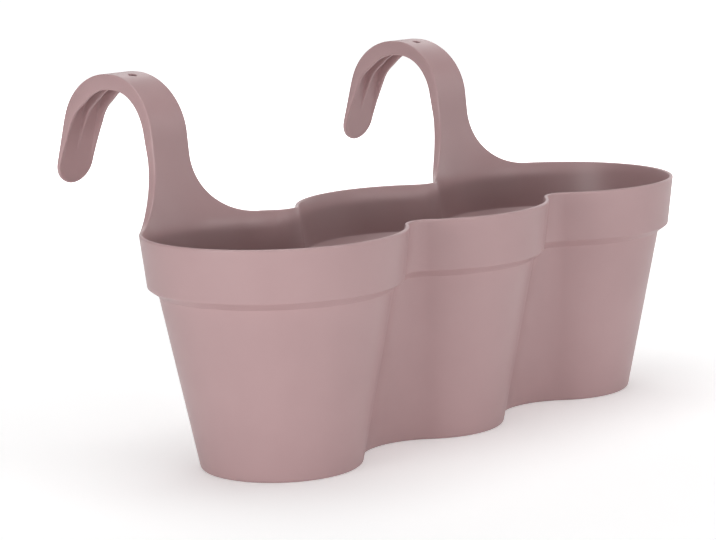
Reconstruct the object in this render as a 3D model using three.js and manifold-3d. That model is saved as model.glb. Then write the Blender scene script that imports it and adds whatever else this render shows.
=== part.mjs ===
// Balcony planter: three round pots moulded in one row, with two hooks that reach over a railing.
// Millimetres. +X runs along the row, -Y is the front, +Z is up. The hooks are on the +Y side.

import * as THREE from 'three';
import { mergeVertices } from 'three/addons/utils/BufferGeometryUtils.js';
import Module from 'manifold-3d';

const wasm = await Module();
wasm.setup();

// Row of pots
const POT_NAMES = ['left', 'middle', 'right'];
const POT_PITCH = 146;
const POT_HEIGHT = 155;
const RIM_RADIUS = 87;
const WAIST_RADIUS = 14;
const COLLAR_HEIGHT = 34.5;
const COLLAR_DRAFT = 4;
const STEP_INSET = 7;
const STEP_DROP = 5;
const BASE_INSET = 34;
const BASE_ROUND = 2.5;

// Walls of the moulding
const WALL = 2.8;
const FLOOR = 3;
const FLOOR_ROUND = 4;
const LIP_THICKNESS = 2.4;
const LIP_BAND = 12;

// Hooks: the profile is that of the outer face, which looks at the plants on the arm
const ROOT_HEIGHT = 42;
const ROOT_LEAN_BACK = 7.65;
const ROOT_START_SLOPE = 0.25;
const ARM_SLOPE = 0.1;
const ARM_LENGTH = 14.3;
const ARM_ARCH_RADIUS = 43;
const TIP_ARCH_RADIUS = 41.8;
const SEAT_LAND = 4;
const TIP_SLOPE = 0.296;
const TIP_LENGTH = 34.2;
const FLARE_REACH = 37.5;
const ARM_HALF_WIDTH = 16.5;
const CREST_HALF_WIDTH = 13.5;
const TIP_HALF_WIDTH = 15.5;
const ROOT_WEB_SHARE = 0.33;
const ROOT_FLANGE_POWER = 0.36;

// Hook section: a web with a flange along each edge and a rib in the middle
const WEB = 2.8;
const FLANGE_THICKNESS = 2.6;
const ARM_FLANGE_DEPTH = 6.8;
const ARCH_FLANGE_DEPTH = 8.1;
const PEAK_FLANGE_DEPTH = 12;
const PEAK_FLANGE_REACH = 33;
const FLANGE_END_REACH = 93;
const FLANGE_FADE_POWER = 1.5;
const FLANGE_BLEND = 1.5;
const RIB_THICKNESS = 2.2;
const RIB_SETBACK = 1.1;
const RIB_START_SHARE = 0.5;
const TIE_HOLE_RADIUS = 2.8;
const TIE_HOLE_HEADING = 77.5;

// Drain holes, plugs and grids
const DRAIN_HOLE_RADIUS = 6;
const SEAT_GAP = 0.3;
const PLUG_FIT = 0.25;
const PLUG_FLANGE_OVERLAP = 4;
const PLUG_FLANGE_HEIGHT = 1.6;
const PLUG_GRIP_RADIUS = 3;
const PLUG_GRIP_HEIGHT = 6.5;
const PLUG_LEAD_IN = 0.6;
const GRID_CLEARANCE = 1.2;
const GRID_GAP = 1;
const GRID_THICKNESS = 2.4;
const GRID_LEG_HEIGHT = 14;
const GRID_LEG_RADIUS = 4;
const GRID_LEG_COUNT = 4;
const GRID_LEG_SINK = 0.8;
const GRID_HOLE_RADIUS = 2.7;
const GRID_HOLE_PITCH = 15.5;
const GRID_RING_COUNT = 2;
const GRID_RING_PITCH = 21;
const GRID_MARGIN = 10;

// Facets
const LOBE_STEP = THREE.MathUtils.degToRad(7);
const WAIST_FACETS = 8;
const ROUND_FACETS = 3;
const FLARE_FACETS = 7;
const ARCH_STEP = THREE.MathUtils.degToRad(7.5);
const TIP_LEG_FACETS = 4;
const TIP_FACETS = 6;
const WEB_LINES = [0.75, 0.5, 0.25];
const HOLE_SIDES = 20;
const GRID_HOLE_SIDES = 8;
const GRID_LEG_SIDES = 10;
const GRID_CURVE_SEGMENTS = 9;

const COLOURS = { pink: 0xb58a8f, grid: 0x4b4a48, plug: 0x3a3938 };

const QUARTER = Math.PI / 2;
const MERGE_TOLERANCE = 1e-4;

// Angle at a pot's centre between the row's axis and the centre of the waist fillet
const waistAngle = Math.acos(POT_PITCH / 2 / (RIM_RADIUS + WAIST_RADIUS));
const waistCentreY = (RIM_RADIUS + WAIST_RADIUS) * Math.sin(waistAngle);
const potCentres = POT_NAMES.map((_, index) => (index - 1) * POT_PITCH);

const smooth = (t) => THREE.MathUtils.smoothstep(t, 0, 1);

/** Collects triangles, leaves out those with two corners in one place, and merges shared corners. */
class Skin {
  constructor() {
    this.corners = [];
  }

  triangle(a, b, c) {
    const apart = (p, q) => p.distanceTo(q) > MERGE_TOLERANCE;
    if (apart(a, b) && apart(b, c) && apart(c, a)) this.corners.push(a, b, c);
  }

  quad(a, b, c, d) {
    this.triangle(a, b, c);
    this.triangle(a, c, d);
  }

  /** Joins two closed rings. The ring runs anticlockwise seen from the second ring's side. */
  loft(first, second, skip = () => false) {
    first.forEach((corner, i) => {
      const next = (i + 1) % first.length;
      if (!skip(i)) this.quad(corner, first[next], second[next], second[i]);
    });
  }

  /** Fills a flat outline with holes in it, facing up, or down when reversed. */
  fill(outline, holes, reversed) {
    const flat = (ring) => ring.map((p) => new THREE.Vector2(p.x, p.y));
    const corners = [outline, ...holes].flat();
    for (const [a, b, c] of THREE.ShapeUtils.triangulateShape(flat(outline), holes.map(flat))) {
      if (reversed) this.triangle(corners[a], corners[c], corners[b]);
      else this.triangle(corners[a], corners[b], corners[c]);
    }
  }

  geometry() {
    const geometry = new THREE.BufferGeometry().setFromPoints(this.corners);
    return mergeVertices(geometry, MERGE_TOLERANCE);
  }
}

/** Angles from one value to another in even steps, without the last one. */
function spread(from, to, step) {
  const count = Math.ceil(Math.abs(to - from) / step - 1e-6);
  return Array.from({ length: count }, (_, i) => from + ((to - from) * i) / count);
}

/** Angles along a lobe, with one at each quarter turn that it passes, without the last one. */
function spreadByQuarters(from, to) {
  const quarters = [];
  for (let turn = Math.ceil(from / QUARTER) * QUARTER; turn < to; turn += QUARTER) quarters.push(turn);
  const stops = [from, ...quarters.filter((turn) => turn > from), to];
  return stops.slice(1).flatMap((stop, i) => spread(stops[i], stop, LOBE_STEP));
}

/** Distances from a hook's centre plane to the lines along it, from its +X edge to its -X edge. */
function hookLines(halfWidth) {
  const inner = halfWidth - FLANGE_THICKNESS;
  const half = [halfWidth, inner, ...WEB_LINES.map((share) => inner * share), RIB_THICKNESS / 2];
  return [...half, ...half.map((x) => -x).reverse()];
}

/** Columns of the outline: a point of the rim and the direction that points out of the moulding. */
function outlineColumns() {
  const columns = [];
  const lobe = (pot, angles, hook = false) => angles.forEach((angle) => columns.push({
    centre: new THREE.Vector2(potCentres[pot], 0), angle, radius: RIM_RADIUS, inward: -1, hook, pot,
  }));
  const waist = (between, side) => {
    const from = side < 0 ? Math.PI - waistAngle : 2 * Math.PI - waistAngle;
    const to = from + 2 * waistAngle - Math.PI;
    const step = (Math.PI - 2 * waistAngle) / WAIST_FACETS;
    const centre = new THREE.Vector2(between * POT_PITCH / 2, side * waistCentreY);
    spread(from, to, step).forEach((angle) => columns.push({
      centre, angle, radius: WAIST_RADIUS, inward: 1, hook: false,
    }));
  };
  const flareAngles = hookLines(ARM_HALF_WIDTH + FLARE_REACH)
    .map((x) => Math.acos(x / (RIM_RADIUS - LIP_THICKNESS)));
  const end = flareAngles.length - 1;
  const hookedLobe = (pot, from, to, turn) => {
    const zone = flareAngles.map((angle) => angle + turn);
    lobe(pot, spreadByQuarters(from, zone[0]));
    lobe(pot, zone.slice(0, end), true);
    lobe(pot, spreadByQuarters(zone[end], to));
  };
  hookedLobe(0, waistAngle, 2 * Math.PI - waistAngle, 0);
  waist(-1, -1);
  lobe(1, spreadByQuarters(Math.PI + waistAngle, 2 * Math.PI - waistAngle));
  waist(1, -1);
  hookedLobe(2, Math.PI + waistAngle, 3 * Math.PI - waistAngle, 2 * Math.PI);
  waist(1, 1);
  lobe(1, spreadByQuarters(waistAngle, Math.PI - waistAngle));
  waist(-1, 1);
  return columns;
}

const columns = outlineColumns();

/** One closed ring of the moulding: the rim outline moved inward by an inset, at a height. */
function ring({ inset, z }) {
  return columns.map(({ centre, angle, radius, inward }) => {
    const reach = radius + inward * inset;
    return new THREE.Vector3(centre.x + reach * Math.cos(angle), centre.y + reach * Math.sin(angle), z);
  });
}

/** Corner of a wall's second face: where both neighbouring faces, moved by the wall, meet. */
function offsetCorner(before, corner, after, wall) {
  const first = new THREE.Vector2(corner.inset - before.inset, corner.z - before.z).normalize();
  const second = new THREE.Vector2(after.inset - corner.inset, after.z - corner.z).normalize();
  const normalOf = (d) => new THREE.Vector2(d.y, -d.x);
  const bisector = normalOf(first).add(normalOf(second)).normalize();
  const reach = wall / bisector.dot(normalOf(first));
  return { inset: corner.inset + bisector.x * reach, z: corner.z + bisector.y * reach };
}

const baseEdge = { inset: BASE_INSET, z: 0 };
const stepBottom = { inset: COLLAR_DRAFT + STEP_INSET, z: POT_HEIGHT - COLLAR_HEIGHT - STEP_DROP };
const stepTop = { inset: COLLAR_DRAFT, z: POT_HEIGHT - COLLAR_HEIGHT };
const rimEdge = { inset: 0, z: POT_HEIGHT };

/** Inset of the body's outer face below the collar, at a height. */
const bodyInset = (z) => (
  THREE.MathUtils.mapLinear(z, baseEdge.z, stepBottom.z, baseEdge.inset, stepBottom.inset)
);
/** Inset of the collar's outer face at a height. */
const collarInset = (z) => (
  THREE.MathUtils.mapLinear(z, stepTop.z, rimEdge.z, stepTop.inset, rimEdge.inset)
);

/** Quarter round between a level face and the wall, from the level face to the wall. */
function rounding(radius, level, insetAt) {
  return Array.from({ length: ROUND_FACETS + 1 }, (_, i) => {
    const turn = (QUARTER * i) / ROUND_FACETS;
    const z = level + radius * (1 - Math.cos(turn));
    return { inset: insetAt(z) + radius * (1 - Math.sin(turn)), z };
  });
}

const outerProfile = [...rounding(BASE_ROUND, 0, bodyInset), stepBottom, stepTop, rimEdge];
const innerBodyInset = (z) => bodyInset(z) + WALL;
const bandEdge = { inset: collarInset(POT_HEIGHT - LIP_BAND) + WALL, z: POT_HEIGHT - LIP_BAND };
const innerProfile = [
  { inset: LIP_THICKNESS, z: POT_HEIGHT },
  bandEdge,
  offsetCorner(rimEdge, stepTop, stepBottom, -WALL),
  offsetCorner(stepTop, stepBottom, baseEdge, -WALL),
  ...rounding(FLOOR_ROUND, FLOOR, innerBodyInset).reverse(),
];

const gridLevel = FLOOR + SEAT_GAP + GRID_LEG_HEIGHT;
const gridInset = innerBodyInset(gridLevel) + GRID_CLEARANCE;
const gridRingRadius = (index) => RIM_RADIUS - gridInset - GRID_MARGIN - index * GRID_RING_PITCH;

/** Circle of corners, anticlockwise. */
function circle(x, y, z, radius, sides) {
  return Array.from({ length: sides }, (_, i) => {
    const angle = (2 * Math.PI * i) / sides;
    return new THREE.Vector3(x + radius * Math.cos(angle), y + radius * Math.sin(angle), z);
  });
}

// Outer face of a hook, as stations along it. Heading 0 points up and 90 points back.

const armHeading = Math.atan(ARM_SLOPE);
const tipHeading = Math.PI - Math.atan(TIP_SLOPE);
const rimFaceY = RIM_RADIUS - LIP_THICKNESS;
const armBase = { y: rimFaceY + ROOT_LEAN_BACK, z: POT_HEIGHT + ROOT_HEIGHT };
const archStart = { y: armBase.y + ARM_LENGTH * ARM_SLOPE, z: armBase.z + ARM_LENGTH };
// Two arcs with a level land between them, where the hook sits on the railing
const armArch = { radius: ARM_ARCH_RADIUS, y: archStart.y + ARM_ARCH_RADIUS * Math.cos(armHeading) };
const tipArch = { radius: TIP_ARCH_RADIUS, y: armArch.y + SEAT_LAND };
const crestHeight = archStart.z + ARM_ARCH_RADIUS * (1 - Math.sin(armHeading));
const archPoint = (arch, heading) => ({
  y: arch.y - arch.radius * Math.cos(heading),
  z: crestHeight - arch.radius * (1 - Math.sin(heading)),
});

/** Set back of the root's outer face from the rim, and its slope, for a share of the root's height. */
function rootFace(t) {
  const start = ROOT_HEIGHT * ROOT_START_SLOPE;
  const end = ROOT_HEIGHT * ARM_SLOPE;
  const y = ROOT_LEAN_BACK * t * t * (3 - 2 * t) + start * t * (1 - t) ** 2 + end * t * t * (t - 1);
  const rise = ROOT_LEAN_BACK * 6 * t * (1 - t) + start * (1 - t) * (1 - 3 * t) + end * t * (3 * t - 2);
  return { y: rimFaceY + y, slope: rise / ROOT_HEIGHT };
}

/** Distance along an arc of the outer face from the land, for a heading. */
const landDistance = (arch, heading) => (heading - QUARTER) * arch.radius;

/**
 * Depth of the flanges, measured from the outer face, for a distance past the land. It grows evenly up to
 * the peak and fades out towards the tip, with a soft change from one to the other.
 */
function flangeDepth(distance) {
  const start = landDistance(armArch, armHeading);
  const growth = (distance - start) / (PEAK_FLANGE_REACH - start);
  const rising = ARCH_FLANGE_DEPTH + (PEAK_FLANGE_DEPTH - ARCH_FLANGE_DEPTH) * growth;
  const left = Math.max(0, FLANGE_END_REACH - distance) / (FLANGE_END_REACH - PEAK_FLANGE_REACH);
  const fading = WEB + (PEAK_FLANGE_DEPTH - WEB) * left ** FLANGE_FADE_POWER;
  const overlap = Math.max(0, FLANGE_BLEND - Math.abs(rising - fading));
  return Math.min(rising, fading) - overlap ** 2 / (4 * FLANGE_BLEND);
}

/** Half width of the hook on the arch: narrowest at the crest. */
function archHalfWidth(heading) {
  const side = heading < QUARTER ? ARM_HALF_WIDTH : TIP_HALF_WIDTH;
  return CREST_HALF_WIDTH + (side - CREST_HALF_WIDTH) * Math.cos(heading) ** 2;
}

/** Depth of the middle rib: it stays inside the flanges and runs out where they are shallow. */
const ribDepth = (flange, share) => WEB + Math.max(0, flange - RIB_SETBACK - WEB) * share;

function rootStations() {
  return Array.from({ length: FLARE_FACETS }, (_, i) => {
    const turn = (QUARTER * (i + 1)) / FLARE_FACETS;
    const share = 1 - Math.cos(turn);
    const face = rootFace(share);
    const thickness = LIP_THICKNESS + (WEB - LIP_THICKNESS) * smooth(share / ROOT_WEB_SHARE);
    return {
      y: face.y,
      z: POT_HEIGHT + ROOT_HEIGHT * share,
      heading: Math.atan(face.slope),
      halfWidth: ARM_HALF_WIDTH + FLARE_REACH * (1 - Math.sin(turn)),
      round: 1 - smooth(share),
      web: thickness,
      flange: LIP_THICKNESS + (ARM_FLANGE_DEPTH - LIP_THICKNESS) * share ** ROOT_FLANGE_POWER,
      rib: thickness,
    };
  });
}

function archStations() {
  const rise = [...spread(armHeading, QUARTER, ARCH_STEP), QUARTER].map((heading) => [armArch, heading]);
  const fall = [...spread(QUARTER, tipHeading, ARCH_STEP), tipHeading].map((heading) => [tipArch, heading]);
  const ribStart = (QUARTER - armHeading) * RIB_START_SHARE;
  return [...rise, ...fall].map(([arch, heading]) => {
    const flange = flangeDepth(landDistance(arch, heading));
    return {
      ...archPoint(arch, heading),
      heading,
      halfWidth: archHalfWidth(heading),
      round: 0,
      web: WEB,
      flange,
      rib: ribDepth(flange, smooth((heading - armHeading) / ribStart)),
    };
  });
}

/** Stations from the arch to the end: a straight leg, then a round end. */
function tipStations() {
  const start = archPoint(tipArch, tipHeading);
  const legs = Array.from({ length: TIP_LEG_FACETS }, (_, i) => (
    { along: (TIP_LENGTH * (i + 1)) / TIP_LEG_FACETS, taper: 1 }
  ));
  const rounds = Array.from({ length: TIP_FACETS - 1 }, (_, i) => {
    const turn = (QUARTER * (i + 1)) / TIP_FACETS;
    return { along: TIP_LENGTH + TIP_HALF_WIDTH * Math.sin(turn), taper: Math.cos(turn) };
  });
  return [...legs, ...rounds].map(({ along, taper }) => {
    const flange = flangeDepth(landDistance(tipArch, tipHeading) + along);
    return {
      y: start.y + along * Math.sin(tipHeading),
      z: start.z + along * Math.cos(tipHeading),
      heading: tipHeading,
      halfWidth: TIP_HALF_WIDTH,
      taper,
      round: 0,
      web: WEB,
      flange,
      rib: ribDepth(flange, 1),
    };
  });
}

/** Closed ring round a hook's section, anticlockwise seen from further along the hook. */
function hookRing(potX, station) {
  const { y, z, heading, halfWidth, round, taper = 1 } = station;
  const place = (x, depth) => {
    const sag = round * (rimFaceY - Math.sqrt(rimFaceY ** 2 - x ** 2));
    const across = (round * x) / rimFaceY;
    const back = Math.sqrt(1 - across ** 2);
    return new THREE.Vector3(
      potX + (x + across * depth) * taper,
      y - sag + depth * back * Math.cos(heading),
      z - depth * back * Math.sin(heading),
    );
  };
  const lines = hookLines(halfWidth);
  return sectionRing(
    lines.map((x) => place(x, 0)),
    lines.map((x) => place(x, station.web)),
    lines.map((x) => place(x, station.flange)),
    lines.map((x) => place(x, station.rib)),
  );
}

/** Orders the corners of a hook's section: back face with flanges and rib, then the front face. */
function sectionRing(front, web, flange, rib) {
  const last = web.length - 1;
  const middle = web.length / 2;
  return [
    flange[0], flange[1], ...web.slice(1, middle), rib[middle - 1],
    rib[middle], ...web.slice(middle, last), flange[last - 1], flange[last],
    ...front.slice().reverse(),
  ];
}

/** A hook's rings from the rim to the tip. The first one lies on the rim's own corners. */
function addHook(skin, pot, outerRim, innerRim) {
  const first = columns.findIndex((column) => column.hook && column.pot === pot);
  const count = hookLines(ARM_HALF_WIDTH).length;
  const back = outerRim.slice(first, first + count);
  const front = innerRim.slice(first, first + count);
  const stations = [...rootStations(), ...archStations(), ...tipStations()];
  const rings = [sectionRing(front, back, back, back)];
  stations.forEach((station) => rings.push(hookRing(potCentres[pot], station)));
  rings.slice(1).forEach((next, i) => skin.loft(rings[i], next));
  const end = rings.at(-1).filter((corner, i, all) => (
    corner.distanceTo(all[(i + 1) % all.length]) > MERGE_TOLERANCE
  ));
  for (let i = 0; i < end.length / 2 - 1; i += 1) {
    const opposite = end.length - 1 - i;
    skin.quad(end[i], end[i + 1], end[opposite - 1], end[opposite]);
  }
}

function toManifold(geometry) {
  const bare = geometry.clone();
  bare.deleteAttribute('normal');
  bare.deleteAttribute('uv');
  const merged = mergeVertices(bare, MERGE_TOLERANCE);
  return new wasm.Manifold(new wasm.Mesh({
    numProp: 3,
    vertProperties: new Float32Array(merged.attributes.position.array),
    triVerts: new Uint32Array(merged.index.array),
  }));
}

function fromManifold(solid) {
  const mesh = solid.getMesh();
  const geometry = new THREE.BufferGeometry();
  geometry.setAttribute('position', new THREE.BufferAttribute(mesh.vertProperties, 3));
  geometry.setIndex(new THREE.BufferAttribute(mesh.triVerts, 1));
  return geometry;
}

/** Cylinder through a hook's web near its crest, square to the outer face. */
function tieHoleCutter(potX) {
  const heading = THREE.MathUtils.degToRad(TIE_HOLE_HEADING);
  const length = 4 * PEAK_FLANGE_DEPTH;
  const cutter = new THREE.CylinderGeometry(TIE_HOLE_RADIUS, TIE_HOLE_RADIUS, length, HOLE_SIDES);
  cutter.rotateX(-heading);
  const { y, z } = archPoint(armArch, heading);
  return toManifold(cutter.translate(potX, y, z));
}

function bodyGeometry() {
  const skin = new Skin();
  const outer = outerProfile.map(ring);
  const inner = innerProfile.map(ring);
  outer.slice(1).forEach((next, i) => skin.loft(outer[i], next));
  inner.slice(1).forEach((next, i) => skin.loft(inner[i], next));
  const outerRim = outer[outer.length - 1];
  const innerRim = inner[0];
  skin.loft(outerRim, innerRim, (i) => columns[i].hook);
  const holesAt = (z) => potCentres.map((x) => circle(x, 0, z, DRAIN_HOLE_RADIUS, HOLE_SIDES));
  skin.fill(outer[0], holesAt(0), true);
  skin.fill(inner[inner.length - 1], holesAt(FLOOR), false);
  potCentres.forEach((x) => skin.loft(
    circle(x, 0, FLOOR, DRAIN_HOLE_RADIUS, HOLE_SIDES),
    circle(x, 0, 0, DRAIN_HOLE_RADIUS, HOLE_SIDES),
  ));
  addHook(skin, 0, outerRim, innerRim);
  addHook(skin, 2, outerRim, innerRim);
  let body = toManifold(skin.geometry());
  for (const pot of [0, 2]) body = body.subtract(tieHoleCutter(potCentres[pot]));
  return fromManifold(body);
}

/** Outline of one pot's grid: the pot's inside at the grid's height, cut across at the waists. */
function gridShape(pot) {
  const lobe = RIM_RADIUS - gridInset;
  const fillet = WAIST_RADIUS + gridInset;
  const slit = Math.asin(GRID_GAP / 2 / fillet);
  const half = POT_PITCH / 2;
  const left = pot > 0 ? waistAngle : 0;
  const right = pot < POT_NAMES.length - 1 ? waistAngle : 0;
  const shape = new THREE.Shape();
  if (left) shape.absarc(-half, -waistCentreY, fillet, QUARTER - slit, waistAngle, true);
  shape.absarc(0, 0, lobe, Math.PI + left, 2 * Math.PI - right, false);
  if (right) {
    shape.absarc(half, -waistCentreY, fillet, Math.PI - waistAngle, QUARTER + slit, true);
    shape.absarc(half, waistCentreY, fillet, -QUARTER - slit, waistAngle - Math.PI, true);
  }
  shape.absarc(0, 0, lobe, right, Math.PI - left, false);
  if (left) shape.absarc(-half, waistCentreY, fillet, -waistAngle, slit - QUARTER, true);
  const drill = (x, y) => {
    shape.holes.push(new THREE.Path(circle(x, y, 0, GRID_HOLE_RADIUS, GRID_HOLE_SIDES)));
  };
  drill(0, 0);
  for (let index = 0; index < GRID_RING_COUNT; index += 1) {
    const reach = gridRingRadius(index);
    const count = Math.round((2 * Math.PI * reach) / GRID_HOLE_PITCH);
    for (const angle of spread(0, 2 * Math.PI, (2 * Math.PI) / count)) {
      drill(reach * Math.cos(angle), reach * Math.sin(angle));
    }
  }
  return shape;
}

/** Flat grid on short legs, with its underside at height 0. */
function gridGeometry(pot) {
  const plate = new THREE.ExtrudeGeometry(gridShape(pot), {
    depth: GRID_THICKNESS, bevelEnabled: false, curveSegments: GRID_CURVE_SEGMENTS,
  });
  let grid = toManifold(plate);
  for (let i = 0; i < GRID_LEG_COUNT; i += 1) {
    const angle = (2 * Math.PI * (i + 0.5)) / GRID_LEG_COUNT;
    const length = GRID_LEG_HEIGHT + GRID_LEG_SINK;
    const leg = new THREE.CylinderGeometry(GRID_LEG_RADIUS, GRID_LEG_RADIUS, length, GRID_LEG_SIDES);
    leg.rotateX(QUARTER);
    const reach = gridRingRadius(0.5);
    leg.translate(reach * Math.cos(angle), reach * Math.sin(angle), GRID_LEG_SINK - length / 2);
    grid = grid.add(toManifold(leg));
  }
  return fromManifold(grid);
}

/** Push-in plug that seats on the floor from inside, with a grip to pull it by. Height 0 is the base. */
function plugGeometry() {
  const stem = DRAIN_HOLE_RADIUS - PLUG_FIT;
  const flange = DRAIN_HOLE_RADIUS + PLUG_FLANGE_OVERLAP;
  const seat = FLOOR + SEAT_GAP;
  const shoulder = seat + PLUG_FLANGE_HEIGHT;
  const top = shoulder + PLUG_GRIP_HEIGHT;
  const profile = [
    [0, SEAT_GAP],
    [stem - PLUG_LEAD_IN, SEAT_GAP],
    [stem, SEAT_GAP + PLUG_LEAD_IN],
    [stem, seat],
    [flange, seat],
    [flange, shoulder],
    [PLUG_GRIP_RADIUS, shoulder],
    [PLUG_GRIP_RADIUS, top - PLUG_LEAD_IN],
    [PLUG_GRIP_RADIUS - PLUG_LEAD_IN, top],
    [0, top],
  ].map(([radius, z]) => new THREE.Vector2(radius, z));
  return new THREE.LatheGeometry(profile, HOLE_SIDES).rotateX(QUARTER);
}

const materials = {
  body: new THREE.MeshStandardMaterial({ color: COLOURS.pink, roughness: 0.5, metalness: 0 }),
  grid: new THREE.MeshStandardMaterial({ color: COLOURS.grid, roughness: 0.6, metalness: 0 }),
  plug: new THREE.MeshStandardMaterial({ color: COLOURS.plug, roughness: 0.7, metalness: 0 }),
};

function piece(name, geometry, material, x = 0, z = 0) {
  const mesh = new THREE.Mesh(geometry, material);
  mesh.name = name;
  mesh.position.set(x, 0, z);
  return mesh;
}

const planter = new THREE.Group();
planter.add(piece('planter_body', bodyGeometry(), materials.body));
POT_NAMES.forEach((name, pot) => {
  planter.add(piece(`drainage_grid_${name}`, gridGeometry(pot), materials.grid, potCentres[pot], gridLevel));
  planter.add(piece(`drain_plug_${name}`, plugGeometry(), materials.plug, potCentres[pot]));
});

// The origin is under the middle of the whole object, hooks included
const tipEnd = tipStations().at(-1);
planter.position.y = (RIM_RADIUS - tipEnd.y) / 2;

export default planter;
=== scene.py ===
"""Looks of a balcony planter: three pots moulded in one row, with two hooks that reach over a railing.

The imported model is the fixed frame. The moulding, the drainage grids and the drain plugs are built here
again with their real roundings, on the places that the frame gives. Lengths are in millimetres until a
mesh is made, and metres from there on.
"""

import logging
import math
from dataclasses import dataclass, field, replace
from enum import Enum
from typing import Iterable, Sequence

import bmesh
import bpy
from mathutils import Matrix, Vector
from mathutils.geometry import tessellate_polygon


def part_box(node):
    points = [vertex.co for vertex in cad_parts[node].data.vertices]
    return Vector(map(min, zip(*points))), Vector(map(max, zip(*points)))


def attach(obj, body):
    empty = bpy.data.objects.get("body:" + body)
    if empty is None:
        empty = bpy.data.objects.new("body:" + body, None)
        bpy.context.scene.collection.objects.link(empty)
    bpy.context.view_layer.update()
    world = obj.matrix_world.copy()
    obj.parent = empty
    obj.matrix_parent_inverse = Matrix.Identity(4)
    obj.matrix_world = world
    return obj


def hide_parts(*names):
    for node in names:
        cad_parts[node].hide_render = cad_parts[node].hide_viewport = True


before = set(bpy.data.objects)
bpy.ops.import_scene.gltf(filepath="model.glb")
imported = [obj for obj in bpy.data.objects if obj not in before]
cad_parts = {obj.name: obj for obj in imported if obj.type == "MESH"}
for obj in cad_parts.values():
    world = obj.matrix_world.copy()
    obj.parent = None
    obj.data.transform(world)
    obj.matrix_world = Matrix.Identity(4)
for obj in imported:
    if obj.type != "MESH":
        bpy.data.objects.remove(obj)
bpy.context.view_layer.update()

log = logging.getLogger("planter")

MM = 0.001
QUARTER = math.pi / 2
FULL_TURN = 2 * math.pi
POTS = ("left", "middle", "right")
HOOKED_POTS = (0, 2)
MERGE_DISTANCE = 0.002
SHARP_ANGLE = math.radians(38)
WHITE = "ffffff"

Point2 = tuple[float, float]
Point3 = tuple[float, float, float]


class Slot(Enum):
    """Material slots of the record."""

    BODY = "pink_plastic"
    GRID = "grid_plastic"
    PLUG = "plug_rubber"


class Side(Enum):
    """Side of the row of pots."""

    FRONT = -1
    BACK = 1


def smooth(t: float) -> float:
    """Eased value between 0 and 1."""
    t = min(max(t, 0.0), 1.0)
    return t * t * (3 - 2 * t)


def mix(a: float, b: float, t: float) -> float:
    """Value between two others."""
    return a + (b - a) * t


def steps(start: float, end: float, count: int) -> list[float]:
    """Even values from start to end, with both, so one more than the count."""
    return [mix(start, end, i / count) for i in range(count + 1)]


def soft_curve(t: float, rise: float, start: float, end: float) -> float:
    """Height at a share of a cubic curve, from its whole rise and its slopes at both ends."""
    return rise * t * t * (3 - 2 * t) + start * t * (1 - t) ** 2 + end * t * t * (t - 1)


def quarter_round(start: Point2, end: Point2, facets: int, level_first: bool) -> list[Point2]:
    """Quarter of an ellipse between two points.

    Args:
        start: First point.
        end: Last point.
        facets: Number of facets.
        level_first: True where it leaves level and arrives upright, False the other way round.

    Returns:
        The points, with both ends.
    """
    points = []
    for turn in steps(0.0, QUARTER, facets):
        across, up = math.sin(turn), 1 - math.cos(turn)
        if not level_first:
            across, up = up, across
        points.append((mix(start[0], end[0], across), mix(start[1], end[1], up)))
    return points


def arc(x: float, y: float, radius: float, start: float, end: float, step: float) -> list[Point2]:
    """Arc of a circle.

    Args:
        x: Place of the centre along the row.
        y: Place of the centre across the row.
        radius: Radius of the circle.
        start: Angle of the first point.
        end: Angle of the last point.
        step: Largest angle between two points.

    Returns:
        The points, with both ends.
    """
    count = max(1, math.ceil(abs(end - start) / step))
    return [(x + radius * math.cos(a), y + radius * math.sin(a)) for a in steps(start, end, count)]


def fillet(before: Vector, corner: Vector, after: Vector, radius: float, facets: int) -> list[Vector]:
    """Round corner of an outline.

    Args:
        before: Point before the corner.
        corner: The corner.
        after: Point after it.
        radius: Radius of the round.
        facets: Number of facets.

    Returns:
        Points of the arc, from the first tangent point to the last one.
    """
    back = (before - corner).normalized()
    ahead = (after - corner).normalized()
    half = back.angle(ahead) / 2
    reach = radius / math.tan(half)
    centre = corner + (back + ahead).normalized() * (radius / math.sin(half))
    start = corner + back * reach - centre
    sweep = start.angle_signed(corner + ahead * reach - centre)
    return [centre + Matrix.Rotation(turn, 2) @ start for turn in steps(0.0, -sweep, facets)]


def rounded_profile(corners: Sequence[Point3], longest: float, facets: int, support: float) -> list[Point2]:
    """Open outline with round corners and with extra points along its long stretches.

    Args:
        corners: Inset, height and corner radius of each point. The ends have radius 0.
        longest: Longest stretch that is left without a point.
        facets: Facets of each round corner.
        support: Distance from a round corner to the point that keeps the next face flat.

    Returns:
        The outline's points as (inset, height).
    """
    points = [Vector(corner[:2]) for corner in corners]
    groups = [[point] for point in points]
    for i, (_, _, radius) in enumerate(corners):
        if radius:
            groups[i] = fillet(points[i - 1], points[i], points[i + 1], radius, facets)
    result = list(groups[0])
    for before, after in zip(groups, groups[1:]):
        start, end = before[-1], after[0]
        length = (end - start).length
        if length > 3 * support:
            first, last = (start.lerp(end, share) for share in (support / length, 1 - support / length))
            count = max(1, math.ceil((length - 2 * support) / longest))
            result += [first.lerp(last, share) for share in steps(0.0, 1.0, count)]
        result += after
    return [(p.x, p.y) for p in result]


def offset_corner(before: Vector, corner: Vector, after: Vector, wall: float) -> Vector:
    """Corner of a wall's second face, where both neighbouring faces meet after they move by the wall.

    Args:
        before: Point before the corner.
        corner: The corner of the first face.
        after: Point after it.
        wall: Distance between the faces.

    Returns:
        The corner of the second face.
    """
    first, second = (Vector((d.y, -d.x)).normalized() for d in (corner - before, after - corner))
    bisector = (first + second).normalized()
    return corner + bisector * (wall / bisector.dot(first))


def placed(name: str, data: bpy.types.ID) -> bpy.types.Object:
    """Puts a new object into the scene.

    Args:
        name: Name of the object.
        data: Its mesh, light or camera.

    Returns:
        The object.
    """
    item = bpy.data.objects.new(name, data)
    bpy.context.scene.collection.objects.link(item)
    return item


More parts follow.
